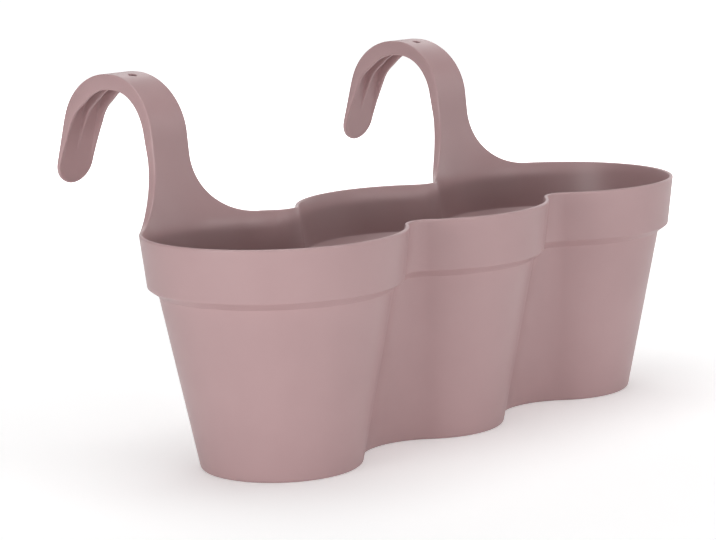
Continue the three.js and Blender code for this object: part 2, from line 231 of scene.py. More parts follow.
def baked(source: bpy.types.Object) -> bpy.types.Mesh:
    """Plain mesh of an object with its modifiers applied."""
    bpy.context.view_layer.update()
    return bpy.data.meshes.new_from_object(source.evaluated_get(bpy.context.evaluated_depsgraph_get()))


def shade(mesh: bpy.types.Mesh) -> None:
    """Shades a mesh smooth between its sharp edges."""
    mesh.shade_smooth()
    mesh.set_sharp_from_angle(angle=SHARP_ANGLE)


def finished_object(name: str, shell: bmesh.types.BMesh) -> bpy.types.Object:
    """Turns a bmesh into an object with smooth shading.

    Args:
        name: Name of the piece.
        shell: The mesh. It is freed here.

    Returns:
        The new object.
    """
    mesh = bpy.data.meshes.new(name)
    shell.to_mesh(mesh)
    shell.free()
    shade(mesh)
    return placed(name, mesh)


@dataclass
class Skin:
    """Surface made of rings of points. Points are in millimetres."""

    points: list[Point3] = field(default_factory=list)
    faces: list[tuple[int, ...]] = field(default_factory=list)

    def ring(self, points: Iterable[Point3]) -> list[int]:
        """Adds points.

        Args:
            points: The points, in order.

        Returns:
            Their numbers.
        """
        start = len(self.points)
        self.points += points
        return list(range(start, len(self.points)))

    def wall(
        self, rings: Sequence[Sequence[int]], closed: bool = True, skip: frozenset[int] = frozenset()
    ) -> None:
        """Joins each ring to the next one with quads.

        Args:
            rings: Numbers of each ring's points.
            closed: True joins the last point of a ring to its first one.
            skip: Places in the ring that stay open.
        """
        for a, b in zip(rings, rings[1:]):
            for i in range(len(a) if closed else len(a) - 1):
                if i not in skip:
                    j = (i + 1) % len(a)
                    self.faces.append((a[i], a[j], b[j], b[i]))

    def turned(self, profile: Sequence[Point2], sides: int, x: float = 0.0) -> list[list[int]]:
        """Turns a profile about an upright axis.

        Args:
            profile: Points as (radius, height).
            sides: Number of points round each ring.
            x: Place of the axis along the row.

        Returns:
            The rings, in the profile's order.
        """
        angles = steps(0.0, FULL_TURN, sides)[:-1]
        rings = [self.ring((x + r * math.cos(a), r * math.sin(a), z) for a in angles) for r, z in profile]
        self.wall(rings)
        return rings

    def turned_solid(self, profile: Sequence[Point2], sides: int, x: float = 0.0) -> None:
        """Turns a profile that starts and ends on the axis, and closes both poles.

        Args:
            profile: Points as (radius, height).
            sides: Number of points round each ring.
            x: Place of the axis along the row.
        """
        rings = self.turned(profile[1:-1], sides, x)
        for ring, (_, z) in ((rings[0], profile[0]), (rings[-1], profile[-1])):
            pole = self.ring([(x, 0.0, z)])
            self.wall([ring, pole * len(ring)])

    def fill(self, outline: Sequence[int], holes: Sequence[Sequence[int]]) -> None:
        """Fills a level outline around its holes with triangles.

        Args:
            outline: Numbers of the outline's points.
            holes: Numbers of each hole's points.
        """
        loops = [outline, *holes]
        numbers = [number for loop in loops for number in loop]
        flat = [[Vector(self.points[n]) for n in loop] for loop in loops]
        self.faces += [tuple(numbers[i] for i in face) for face in tessellate_polygon(flat)]

    def build(self, name: str, shift_y: float = 0.0) -> bpy.types.Object:
        """Makes the mesh object.

        Args:
            name: Name of the piece.
            shift_y: Place of the row along Y, in millimetres.

        Returns:
            The object, with its faces pointing out and smooth shading between sharp edges.
        """
        shell = bmesh.new()
        corners = [shell.verts.new((x * MM, (y + shift_y) * MM, z * MM)) for x, y, z in self.points]
        for face in self.faces:
            around = list(dict.fromkeys(face))
            if len(around) > 2:
                try:
                    shell.faces.new([corners[i] for i in around])
                except ValueError:
                    log.warning("%s: a face is there twice", name)
        bmesh.ops.remove_doubles(shell, verts=shell.verts, dist=MERGE_DISTANCE * MM)
        bmesh.ops.recalc_face_normals(shell, faces=shell.faces)
        return finished_object(name, shell)


def add_node(
    tree: bpy.types.NodeTree, kind: str, inputs: dict[str | int, object] | None = None, **settings: object
) -> bpy.types.Node:
    """Adds a node to a tree.

    Args:
        tree: The node tree.
        kind: The node's type.
        inputs: Input name or number to what feeds it: a value, an output socket, a node, which gives
            its first output, or a list of nodes.
        settings: The node's own settings.

    Returns:
        The new node.
    """
    node = tree.nodes.new(kind)
    for name, value in settings.items():
        setattr(node, name, value)
    for key, value in (inputs or {}).items():
        for source in value if isinstance(value, list) else [value]:
            if isinstance(source, bpy.types.Node):
                source = source.outputs[0]
            if isinstance(source, bpy.types.NodeSocket):
                tree.links.new(source, node.inputs[key])
            else:
                node.inputs[key].default_value = source
    return node


def linear(code: str) -> tuple[float, float, float, float]:
    """Turns an sRGB colour into a linear one.

    Args:
        code: Hex code of the colour.

    Returns:
        Red, green and blue, and 1 for full cover.
    """
    parts = [int(code[i : i + 2], 16) / 255 for i in (0, 2, 4)]
    values = [p / 12.92 if p <= 0.04045 else ((p + 0.055) / 1.055) ** 2.4 for p in parts]
    return (*values, 1.0)


@dataclass(frozen=True)
class MouldedFinish:
    """Surface of a moulded piece: one even colour with faint clouds, and the fine grain of its mould.

    Sizes are in millimetres. A noise's character is its detail and the roughness of that detail.
    """

    slot: Slot
    name: str
    pale: str
    deep: str
    roughness: float
    grain: float
    grain_height: float
    ior: float = 1.49
    roughness_swing: float = 0.03
    cloud: float = 45.0
    cloud_span: Point2 = (0.3, 0.7)
    cloud_character: Point2 = (2.0, 0.45)
    grain_character: Point2 = (3.0, 0.6)

    def material(self) -> bpy.types.Material:
        """Builds the material.

        Returns:
            The new material.
        """
        finish = bpy.data.materials.new(self.name)
        finish.use_nodes = True
        tree = finish.node_tree
        tree.nodes.clear()
        place = add_node(tree, "ShaderNodeTexCoord").outputs["Object"]
        patterns = ((self.cloud, self.cloud_character), (self.grain, self.grain_character))
        clouds, grain = (
            add_node(tree, "ShaderNodeTexNoise", {
                "Vector": place, "Scale": 1 / (width * MM), "Detail": detail, "Roughness": roughness,
            })
            for width, (detail, roughness) in patterns
        )
        colour = add_node(tree, "ShaderNodeValToRGB", {"Fac": clouds})
        for end, spot, code in zip(colour.color_ramp.elements, self.cloud_span, (self.pale, self.deep)):
            end.position = spot
            end.color = linear(code)
        low, high = self.cloud_span
        dull = (self.roughness - self.roughness_swing, self.roughness + self.roughness_swing)
        gloss = add_node(tree, "ShaderNodeMapRange", {0: clouds, 1: low, 2: high, 3: dull[0], 4: dull[1]})
        bump = add_node(tree, "ShaderNodeBump", {
            "Height": grain, "Distance": self.grain_height * MM, "Strength": 1.0,
        })
        shader = add_node(tree, "ShaderNodeBsdfPrincipled", {
            "Base Color": colour, "Roughness": gloss, "IOR": self.ior, "Normal": bump,
        })
        add_node(tree, "ShaderNodeOutputMaterial", {"Surface": shader})
        return finish


# Injection-moulded polypropylene in dusty pink: the eye sees one even colour with a soft, wide highlight.
# The mould's eroded grain is about 0.3 mm wide and is drawn at 0.9 mm, as coarse as it needs to show
PINK = MouldedFinish(Slot.BODY, "moulded pink polypropylene", "bb9b9c", "b79798", 0.36, 0.9, 0.02)
# Injection-moulded recycled polypropylene in dark grey: dull, with cloudy flow marks and a coarser grain
GREY = MouldedFinish(Slot.GRID, "moulded grey polypropylene", "4a4a48", "434341", 0.6, 1.2, 0.03)
# Press-moulded nitrile rubber in black: dull and nearly without a highlight, with a fine powdery grain
RUBBER = MouldedFinish(Slot.PLUG, "moulded nitrile rubber", "2c2b2a", "282726", 0.75, 0.8, 0.02, 1.52)


@dataclass(frozen=True)
class HookShape:
    """Sizes of one hook, in millimetres. The profile is that of the face that looks at the plants.

    A share is a part of the whole height, width or depth at that place. The tie hole's heading is in
    degrees.
    """

    root_height: float = 42.0
    root_lean_back: float = 7.65
    root_start_slope: float = 0.25
    arm_slope: float = 0.1
    arm_length: float = 14.3
    arm_arch_radius: float = 43.0
    tip_arch_radius: float = 41.8
    seat_land: float = 4.0
    tip_slope: float = 0.296
    tip_length: float = 34.2
    flare_reach: float = 37.5
    arm_half_width: float = 16.5
    crest_half_width: float = 13.5
    tip_half_width: float = 15.5
    root_web_share: float = 0.33
    root_flange_power: float = 0.36
    root_spread_share: float = 0.22
    web: float = 2.8
    flange_thickness: float = 2.6
    root_flange_spread: float = 6.0
    arm_flange_depth: float = 6.8
    arch_flange_depth: float = 8.1
    peak_flange_depth: float = 12.0
    peak_flange_reach: float = 33.0
    flange_end_reach: float = 93.0
    flange_fade_power: float = 1.5
    flange_blend: float = 1.5
    flange_round_share: float = 0.25
    rib_thickness: float = 2.2
    rib_setback: float = 1.1
    rib_start_share: float = 0.5
    rib_round: float = 0.5
    rib_foot_round: float = 0.9
    web_round: float = 1.5
    side_draft: float = 0.1
    edge_round: float = 0.9
    edge_depth_share: float = 1 / 3
    edge_reach_share: float = 0.4
    edge_least_climb: float = 0.05
    tie_hole_radius: float = 2.8
    tie_hole_heading: float = 77.5

    @property
    def arm_heading(self) -> float:
        """Heading of the straight arm: 0 points up and a quarter turn points back."""
        return math.atan(self.arm_slope)

    @property
    def tip_heading(self) -> float:
        """Heading of the straight tip."""
        return math.pi - math.atan(self.tip_slope)


@dataclass(frozen=True)
class Station:
    """One section of a hook: its place, its sizes, and how far it follows the round rim."""

    y: float
    z: float
    heading: float
    half_width: float
    web: float
    flange: float
    rib: float
    flange_thickness: float
    edge_reach: float
    bend: float = 0.0


@dataclass(frozen=True)
class RowShape:
    """Sizes of the row of pots, in millimetres."""

    pitch: float = 146.0
    pot_height: float = 155.0
    rim_radius: float = 87.0
    waist_radius: float = 14.0
    collar_height: float = 34.5
    collar_draft: float = 4.0
    step_inset: float = 7.0
    step_drop: float = 5.0
    step_round: float = 1.6
    base_inset: float = 34.0
    base_round: float = 2.5
    base_band: float = 9.0
    wall: float = 2.8
    floor: float = 3.0
    floor_round: float = 4.0
    floor_band: float = 12.0
    lip_thickness: float = 2.4
    lip_band: float = 12.0
    lip_round: float = 1.1
    drain_hole_radius: float = 6.0
    drain_hole_round: float = 0.5

    @property
    def waist_angle(self) -> float:
        """Angle at a pot's centre between the row's axis and the centre of the waist."""
        return math.acos(self.pitch / 2 / (self.rim_radius + self.waist_radius))

    @property
    def waist_centre_y(self) -> float:
        """Distance of the waist's centre from the row's axis."""
        return (self.rim_radius + self.waist_radius) * math.sin(self.waist_angle)

    @property
    def rim_face(self) -> float:
        """Radius of the rim's inner face, which runs on as the hook's front face."""
        return self.rim_radius - self.lip_thickness

    @property
    def step_z(self) -> float:
        """Height of the collar's lower edge."""
        return self.pot_height - self.collar_height

    def pot_x(self, pot: int) -> float:
        """Place of a pot along the row."""
        return (pot - 1) * self.pitch

    def body_inset(self, z: float) -> float:
        """Inset of the body's outer face below the collar."""
        return mix(self.base_inset, self.collar_draft + self.step_inset, z / (self.step_z - self.step_drop))

    def collar_inset(self, z: float) -> float:
        """Inset of the collar's outer face."""
        return self.collar_draft * (self.pot_height - z) / self.collar_height


@dataclass(frozen=True)
class Column:
    """One upright line of the moulding's wall. Inward is 1 where an inset makes the radius larger."""

    x: float
    y: float
    angle: float
    radius: float
    inward: int
    hook_pot: int | None = None

    def at(self, inset: float, z: float) -> Point3:
        """Point of the line at an inset and a height."""
        reach = self.radius + self.inward * inset
        return (self.x + reach * math.cos(self.angle), self.y + reach * math.sin(self.angle), z)


@dataclass
class SubAssembly:
    """Pieces of one finish, built at the row's place along Y."""

    row: RowShape
    row_y: float
    finish: MouldedFinish
    material: bpy.types.Material = field(init=False)

    def __post_init__(self) -> None:
        """Makes the material that all of its pieces share."""
        self.material = self.finish.material()

    def dress(self, piece: bpy.types.Object, body: str, node: str) -> None:
        """Gives a finished piece its material and ties it to the frame.

        Args:
            piece: The piece, in place.
            body: The body that it moves with.
            node: The CAD node that it stands for.
        """
        piece.data.materials.clear()
        piece.data.materials.append(self.material)
        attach(piece, body)
        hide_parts(node)
        log.info("%s: %d faces", piece.name, len(piece.data.polygons))


@dataclass
class PlanterBody(SubAssembly):
    """The moulding: three pots, collar, rim and both hooks in one skin."""

    hook: HookShape = HookShape()
    lobe_step: float = math.radians(2.2)
    waist_facets: int = 26
    corner_facets: int = 6
    edge_facets: int = 4
    small_facets: int = 3
    band_facets: int = 8
    root_facets: int = 40
    arch_step: float = math.radians(2.5)
    tip_facets: int = 10
    tip_turns: int = 40
    front_share: float = 0.97
    web_lines: int = 12
    longest: float = 12.0
    support: float = 0.7
    hole_sides: int = 48
    cutter_rise: float = 0.4

    def half_section(self, s: Station) -> list[Point2]:
        """Back face of half a hook section, from the middle rib to the start of the edge.

        Args:
            s: The section.

        Returns:
            Points as (distance from the middle, depth).
        """
        hook, few, more = self.hook, self.small_facets, self.edge_facets
        rib_rise, flange_rise = (max(0.0, depth - s.web) / 2 for depth in (s.rib, s.flange))
        rib_side, flange_side = hook.rib_thickness / 2, s.half_width - s.flange_thickness
        edge = min(hook.edge_round, s.flange_thickness * hook.flange_round_share)
        rib_top, flange_top = min(hook.rib_round, rib_rise), min(edge, flange_rise)
        rib_foot, flange_foot = min(hook.rib_foot_round, rib_rise), min(hook.web_round, flange_rise)
        start, end = rib_side + hook.rib_foot_round + hook.side_draft, flange_side - hook.web_round
        return [
            (0.0, s.rib),
            *quarter_round((rib_side - hook.rib_round, s.rib), (rib_side, s.rib - rib_top), few, True),
            *quarter_round((rib_side + hook.side_draft, s.web + rib_foot), (start, s.web), few, False),
            *((x, s.web) for x in steps(start, end, self.web_lines)[1:-1]),
            *quarter_round((end, s.web), (flange_side - hook.side_draft, s.web + flange_foot), more, True),
            *quarter_round((flange_side, s.flange - flange_top), (flange_side + edge, s.flange), few, False),
            (mix(flange_side + edge, s.half_width - s.edge_reach, 0.5), s.flange),
        ]

    def edge_points(self, s: Station) -> list[Point2]:
        """Edge of half a hook section, from the back face round to the front face.

        Args:
            s: The section.

        Returns:
            Points as (distance from the middle, depth).
        """
        depth = min(self.hook.edge_round, s.flange * self.hook.edge_depth_share)
        inside = s.half_width - s.edge_reach
        return [
            *quarter_round((inside, s.flange), (s.half_width, s.flange - depth), self.edge_facets, True),
            *quarter_round((s.half_width, depth), (inside, 0.0), self.edge_facets, False),
        ]

    def rim_lines(self) -> list[float]:
        """Places of the hook's lines on the rim.

        Returns:
            Distances from the hook's middle plane, from its +X end to its -X end.
        """
        half = [x for x, _ in self.half_section(self.root_station(0.0))]
        half.append(self.hook.arm_half_width + self.hook.flare_reach)
        return [*reversed(half), *(-x for x in half[1:])]

    def root_face(self, t: float) -> Point2:
        """Front face of the root.

        Args:
            t: Share of the root's height.

        Returns:
            Place of the face along Y, and its slope.
        """
        hook = self.hook
        start, end = (hook.root_height * slope for slope in (hook.root_start_slope, hook.arm_slope))
        lean = hook.root_lean_back
        rise = lean * 6 * t * (1 - t) + start * (1 - t) * (1 - 3 * t) + end * t * (3 * t - 2)
        return self.row.rim_face + soft_curve(t, lean, start, end), rise / hook.root_height

    def root_station(self, turn: float) -> Station:
        """Section of the flared root.

        Args:
            turn: From 0 at the rim to a quarter turn at the arm.

        Returns:
            The section.
        """
        hook, row = self.hook, self.row
        share = 1 - math.cos(turn)
        y, slope = self.root_face(share)
        web = mix(row.lip_thickness, hook.web, smooth(share / hook.root_web_share))
        spread = 1 - smooth(share / hook.root_spread_share)
        thickness = hook.flange_thickness + hook.root_flange_spread * spread
        climb = math.atan2(hook.root_height * math.sin(turn), hook.flare_reach * math.cos(turn))
        reach = hook.edge_round / max(math.sin(climb), hook.edge_least_climb)
        return Station(
            y=y,
            z=row.pot_height + hook.root_height * share,
            heading=math.atan(slope),
            half_width=hook.arm_half_width + hook.flare_reach * (1 - math.sin(turn)),
            web=web,
            flange=mix(row.lip_thickness, hook.arm_flange_depth, share**hook.root_flange_power),
            rib=web,
            flange_thickness=thickness,
            edge_reach=min(reach, thickness * hook.edge_reach_share),
            bend=1 - smooth(share),
        )

    def flange_depth(self, distance: float) -> float:
        """Depth of the flanges: they grow along the arch and fade along the tip.

        Args:
            distance: Way along the face past the crest.

        Returns:
            The depth.
        """
        hook = self.hook
        start = (hook.arm_heading - QUARTER) * hook.arm_arch_radius
        growth = (distance - start) / (hook.peak_flange_reach - start)
        rising = mix(hook.arch_flange_depth, hook.peak_flange_depth, growth)
        left = max(0.0, hook.flange_end_reach - distance) / (hook.flange_end_reach - hook.peak_flange_reach)
        fading = mix(hook.web, hook.peak_flange_depth, left**hook.flange_fade_power)
        overlap = max(0.0, hook.flange_blend - abs(rising - fading))
        return min(rising, fading) - overlap**2 / (4 * hook.flange_blend)

    def rib_depth(self, flange: float, share: float) -> float:
        """Depth of the middle rib, which runs out where the flanges are shallow."""
        return self.hook.web + max(0.0, flange - self.hook.rib_setback - self.hook.web) * share

    def arch(self) -> tuple[Point2, Point2, float]:
        """Arcs of the arch.

        Returns:
            The arm's arc and the tip's arc as (radius, centre y), and the height of the crest.
        """
        hook, row = self.hook, self.row
        start_y = row.rim_face + hook.root_lean_back + hook.arm_length * hook.arm_slope
        start_z = row.pot_height + hook.root_height + hook.arm_length
        arm = (hook.arm_arch_radius, start_y + hook.arm_arch_radius * math.cos(hook.arm_heading))
        tip = (hook.tip_arch_radius, arm[1] + hook.seat_land)
        return arm, tip, start_z + hook.arm_arch_radius * (1 - math.sin(hook.arm_heading))

    def arch_station(self, bow: Point2, crest: float, heading: float) -> Station:
        """Section of the arch.

        Args:
            bow: The arc, as (radius, centre y).
            crest: Height of the crest.
            heading: Heading of the face at the section.

        Returns:
            The section.
        """
        hook = self.hook
        radius, centre = bow
        flange = self.flange_depth((heading - QUARTER) * radius)
        side = hook.arm_half_width if heading < QUARTER else hook.tip_half_width
        rise = (heading - hook.arm_heading) / ((QUARTER - hook.arm_heading) * hook.rib_start_share)
        return Station(
            y=centre - radius * math.cos(heading),
            z=crest - radius * (1 - math.sin(heading)),
            heading=heading,
            half_width=mix(hook.crest_half_width, side, math.cos(heading) ** 2),
            web=hook.web,
            flange=flange,
            rib=self.rib_depth(flange, smooth(rise)),
            flange_thickness=hook.flange_thickness,
            edge_reach=hook.edge_round,
        )

    def tip_station(self, bow: Point2, crest: float, along: float) -> Station:
        """Section of the straight tip.

        Args:
            bow: The tip's arc, as (radius, centre y).
            crest: Height of the crest.
            along: Distance past the arch.

        Returns:
            The section.
        """
        hook = self.hook
        start = self.arch_station(bow, crest, hook.tip_heading)
        flange = self.flange_depth((hook.tip_heading - QUARTER) * bow[0] + along)
        return replace(
            start,
            y=start.y + along * math.sin(hook.tip_heading),
            z=start.z + along * math.cos(hook.tip_heading),
            half_width=hook.tip_half_width,
            flange=flange,
            rib=self.rib_depth(flange, 1.0),
        )

    def stations(self) -> list[Station]:
        """Sections of a hook.

        Returns:
            The sections, from just above the rim to the end of the straight tip.
        """
        hook = self.hook
        arm, tip, crest = self.arch()
        rise = math.ceil((QUARTER - hook.arm_heading) / self.arch_step)
        fall = math.ceil((hook.tip_heading - QUARTER) / self.arch_step)
        arm_end = self.arch_station(arm, crest, hook.arm_heading)
        arm_middle = replace(
            arm_end,
            y=arm_end.y - hook.arm_length / 2 * hook.arm_slope,
            z=self.row.pot_height + hook.root_height + hook.arm_length / 2,
            half_width=hook.arm_half_width,
            flange=(hook.arm_flange_depth + hook.arch_flange_depth) / 2,
            rib=hook.web,
        )
        return [
            *(self.root_station(turn) for turn in steps(0.0, QUARTER, self.root_facets)[1:]),
            arm_middle,
            *(self.arch_station(arm, crest, h) for h in steps(hook.arm_heading, QUARTER, rise)),
            *(self.arch_station(tip, crest, h) for h in steps(QUARTER, hook.tip_heading, fall)),
            *(self.tip_station(tip, crest, a) for a in steps(0.0, hook.tip_length, self.tip_facets)[1:]),
        ]

    def place(self, pot: int, s: Station, x: float, depth: float) -> Point3:
        """Place of a point of a section.

        Args:
            pot: Number of the pot that carries the hook.
            s: The section.
            x: Distance from the hook's middle plane.
            depth: Distance behind the front face.

        Returns:
            The point in the row's frame.
        """
        face = self.row.rim_face
        sag = s.bend * (face - math.sqrt(face * face - x * x))
        across = s.bend * x / face
        back = math.sqrt(1 - across * across)
        return (
            self.row.pot_x(pot) + x + across * depth,
            s.y - sag + depth * back * math.cos(s.heading),
            s.z - depth * back * math.sin(s.heading),
        )

    def section_ring(self, pot: int, s: Station) -> list[Point3]:
        """Closed ring round a section.

        Args:
            pot: Number of the pot that carries the hook.
            s: The section.

        Returns:
            The points of the back face, the -X edge, the front face and the +X edge.
        """
        half, edge = self.half_section(s), self.edge_points(s)
        back = [*reversed(half), *((-x, d) for x, d in half[1:])]
        near = [(-x, d) for x, d in edge]
        inside = self.rim_lines()[1:-1]
        share = (s.half_width - s.edge_reach) / inside[0] * self.front_share
        front = [(x * share, 0.0) for x in reversed(inside)]
        return [self.place(pot, s, x, d) for x, d in [*back, *near, *front, *reversed(edge)]]

    def lobe(self, pot: int, start: float, end: float) -> list[Column]:
        """Round stretch of a pot.

        Args:
            pot: Number of the pot.
            start: Angle of the first line.
            end: Angle where the next stretch starts.

        Returns:
            The lines, without the one at the end.
        """
        count = max(1, math.ceil((end - start) / self.lobe_step))
        x, radius = self.row.pot_x(pot), self.row.rim_radius
        return [Column(x, 0.0, angle, radius, -1) for angle in steps(start, end, count)[:-1]]

    def waist(self, between: int, side: Side) -> list[Column]:
        """Hollow stretch between two pots.

        Args:
            between: -1 for the waist beside the left pot, 1 for the one beside the right pot.
            side: Side of the row.

        Returns:
            The lines, without the one at the end.
        """
        row = self.row
        start = (math.pi if side is Side.FRONT else FULL_TURN) - row.waist_angle
        end = start + 2 * row.waist_angle - math.pi
        x, y = between * row.pitch / 2, side.value * row.waist_centre_y
        return [Column(x, y, a, row.waist_radius, 1) for a in steps(start, end, self.waist_facets)[:-1]]

    def hooked_lobe(self, pot: int, start: float, end: float, turn: float) -> list[Column]:
        """Round stretch of a pot with the lines of its hook in it.

        Args:
            pot: Number of the pot.
            start: Angle of the first line.
            end: Angle where the next stretch starts.
            turn: Whole turns that its angles are ahead.

        Returns:
            The lines, without the one at the end.
        """
        x, radius = self.row.pot_x(pot), self.row.rim_radius
        lines = [math.acos(across / self.row.rim_face) + turn for across in self.rim_lines()]
        hook = [Column(x, 0.0, angle, radius, -1, pot) for angle in lines[:-1]]
        return [*self.lobe(pot, start, lines[0]), *hook, *self.lobe(pot, lines[-1], end)]

    def columns(self) -> list[Column]:
        """Upright lines of the wall.

        Returns:
            The lines, anticlockwise seen from above.
        """
        angle = self.row.waist_angle
        return [
            *self.hooked_lobe(0, angle, FULL_TURN - angle, 0.0),
            *self.waist(-1, Side.FRONT),
            *self.lobe(1, math.pi + angle, FULL_TURN - angle),
            *self.waist(1, Side.FRONT),
            *self.hooked_lobe(2, math.pi + angle, 3 * math.pi - angle, FULL_TURN),
            *self.waist(1, Side.BACK),
            *self.lobe(1, angle, math.pi - angle),
            *self.waist(-1, Side.BACK),
        ]

    def rounded(self, corners: Sequence[Point3]) -> list[Point2]:
        """Profile of the wall with round corners, from points as (inset, height, radius)."""
        return rounded_profile(corners, self.longest, self.corner_facets, self.support)

    def outer_profile(self) -> list[Point2]:
        """Outer face of the wall.

        Returns:
            Points as (inset, height), from the flat base to just under the lip.
        """
        row = self.row
        lip_z = row.pot_height - row.lip_round
        return self.rounded([
            (row.base_inset + row.base_band, 0.0, 0.0),
            (row.base_inset, 0.0, row.base_round),
            (row.collar_draft + row.step_inset, row.step_z - row.step_drop, row.step_round),
            (row.collar_draft, row.step_z, row.step_round),
            (row.collar_inset(lip_z), lip_z, 0.0),
        ])

    def inner_profile(self) -> list[Point2]:
        """Inner face of the wall.

        Returns:
            Points as (inset, height), from just under the lip to the floor.
        """
        row = self.row
        base = Vector((row.base_inset, 0.0))
        low = Vector((row.collar_draft + row.step_inset, row.step_z - row.step_drop))
        high = Vector((row.collar_draft, row.step_z))
        rim = Vector((0.0, row.pot_height))
        ledge = offset_corner(rim, high, low, -row.wall)
        below = offset_corner(high, low, base, -row.wall)
        band_z = row.pot_height - row.lip_band
        floor_inset = row.body_inset(row.floor) + row.wall
        return self.band_profile() + self.rounded([
            (row.collar_inset(band_z) + row.wall, band_z, 0.0),
            (ledge.x, ledge.y, row.step_round),
            (below.x, below.y, row.step_round),
            (floor_inset, row.floor, row.floor_round),
            (floor_inset + row.floor_band, row.floor, 0.0),
        ])

    def band_profile(self) -> list[Point2]:
        """Inner face of the band under the lip, where the wall thins in one soft curve.

        Returns:
            Points as (inset, height), from just under the lip to the full wall.
        """
        row = self.row
        top_z, end_z = row.pot_height - row.lip_round, row.pot_height - row.lip_band
        drop = top_z - end_z
        rise = row.collar_inset(end_z) + row.wall - self.lip_inset
        start, end = self.hook.root_start_slope * drop, row.collar_draft / row.collar_height * drop
        shares = steps(0.0, 1.0, self.band_facets)[:-1]
        return [(self.lip_inset + soft_curve(t, rise, start, end), top_z - drop * t) for t in shares]

    @property
    def lip_inset(self) -> float:
        """Inset of the inner face just under the lip, in line with the front face of a hook."""
        return self.row.lip_thickness + self.hook.root_start_slope * self.row.lip_round

    def lip_profile(self) -> list[Point2]:
        """Rounded lip.

        Returns:
            Points as (inset, height), from the outer face over the top to the inner face.
        """
        row, facets = self.row, self.edge_facets
        top, low, bow = row.pot_height, row.pot_height - row.lip_round, row.lip_round
        start, end = row.collar_inset(low), self.lip_inset
        outer = quarter_round((start, low), (start + bow, top), facets, False)
        return outer + quarter_round((end - bow, top), (end, low), facets, True)

    def build(self) -> bpy.types.Object:
        """Builds the moulding.

        Returns:
            The finished object.
        """
        skin = Skin()
        columns = self.columns()
        outer, inner, lip = (
            [skin.ring(column.at(*spot) for column in columns) for spot in profile]
            for profile in (self.outer_profile(), self.inner_profile(), self.lip_profile())
        )
        lip[0], lip[-1] = outer[-1], inner[0]
        skin.wall(outer)
        skin.wall(inner)
        skin.wall(lip, skip=frozenset(i for i, c in enumerate(columns) if c.hook_pot is not None))
        self.close_floor(skin, outer[0], inner[-1])
        for pot in HOOKED_POTS:
            self.add_hook(skin, pot, columns, lip)
        piece = skin.build("planter_moulding", self.row_y)
        for pot in HOOKED_POTS:
            self.cut_tie_hole(piece, pot)
        shade(piece.data)
        return piece

    def close_floor(self, skin: Skin, base: list[int], floor: list[int]) -> None:
        """Fills the base and the floor around the drain holes and joins them through the holes.

        Args:
            skin: The moulding's surface.
            base: Innermost ring of the base.
            floor: Innermost ring of the floor.
        """
        row, facets = self.row, self.small_facets
        radius, bow, top = row.drain_hole_radius, row.drain_hole_round, row.floor
        profile = quarter_round((radius + bow, top), (radius, top - bow), facets, True)
        profile += quarter_round((radius, bow), (radius + bow, 0.0), facets, False)
        holes = [skin.turned(profile, self.hole_sides, row.pot_x(pot)) for pot in range(len(POTS))]
        skin.fill(floor, [rings[0] for rings in holes])
        skin.fill(base, [rings[-1] for rings in holes])

    def add_hook(self, skin: Skin, pot: int, columns: list[Column], lip: list[list[int]]) -> None:
        """Adds one hook, which grows out of the rim's own lines.

        Args:
            skin: The moulding's surface.
            pot: Number of the pot that carries the hook.
            columns: Lines of the wall.
            lip: Rings of the lip, from the outer face to the inner one.
        """
        first = next(i for i, c in enumerate(columns) if c.hook_pot == pot)
        last = first + len(self.rim_lines()) - 1
        back = lip[0][first + 1 : last]
        front = lip[-1][first + 1 : last][::-1]
        root = [*back, *(ring[last] for ring in lip), *front, *(ring[first] for ring in reversed(lip))]
        rings = [root, *(skin.ring(self.section_ring(pot, station)) for station in self.stations())]
        skin.wall(rings)
        self.close_tip(skin, pot, rings[-1])

    def close_tip(self, skin: Skin, pot: int, ring: list[int]) -> None:
        """Turns the last half section about the tip's centre, which gives the round end.

        Args:
            skin: The moulding's surface.
            pot: Number of the pot that carries the hook.
            ring: The last section's ring.
        """
        _, bow, crest = self.arch()
        length = self.hook.tip_length
        end = self.tip_station(bow, crest, length)
        half, edge = self.half_section(end), self.edge_points(end)
        middle, face, side = len(half) - 1, 2 * len(half) - 1, len(edge)
        back, near = ring[:face], ring[face : face + side]
        front, far = ring[face + side : 2 * face + side], ring[2 * face + side :]
        start = [*back[: middle + 1][::-1], *far[::-1], *front[middle:][::-1]]
        reaches = [abs(skin.points[i][0] - self.row.pot_x(pot)) for i in start]
        depths = [d for _, d in half] + [d for _, d in edge] + [0.0] * (middle + 1)
        rings = [start]
        for turn in steps(0.0, math.pi, self.tip_turns)[1:-1]:
            points = []
            for reach, depth in zip(reaches, depths):
                spot = self.tip_station(bow, crest, length + reach * math.sin(turn))
                points.append(self.place(pot, spot, reach * math.cos(turn), depth))
            rings.append(skin.ring(points))
        rings.append([*back[middle:], *near, *front[: middle + 1]])
        skin.wall(rings, closed=False)

